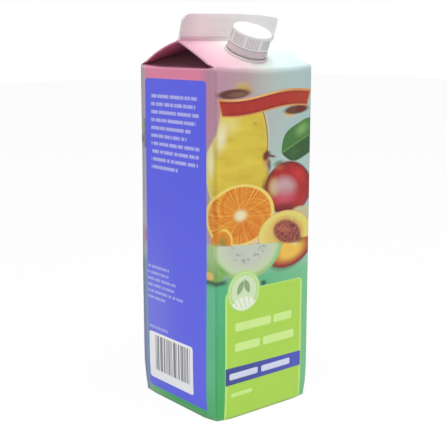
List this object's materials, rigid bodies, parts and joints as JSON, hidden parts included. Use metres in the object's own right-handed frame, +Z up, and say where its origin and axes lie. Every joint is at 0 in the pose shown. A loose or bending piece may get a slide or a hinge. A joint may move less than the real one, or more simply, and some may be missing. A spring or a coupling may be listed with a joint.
{
  "type": "gable-top juice carton",
  "caption": "Tall square board carton with a folded gable roof, a sealed top fin and a ribbed screw cap on the front roof panel.",
  "frame": {"origin": "middle of the square base, on the surface that the carton stands on", "axes": "+Z up along the carton, -Y the front with the cap, +X to the right as seen from the front"},
  "size_m": [0.0724, 0.0724, 0.2295],
  "materials": {
    "board": "coated, printed in colour",
    "closure": "moulded white, satin"
  },
  "bodies": {
    "root": {"carton": "board", "spout": "closure", "tamper_band": "closure", "cap": "closure"}
  },
  "joints": []
}
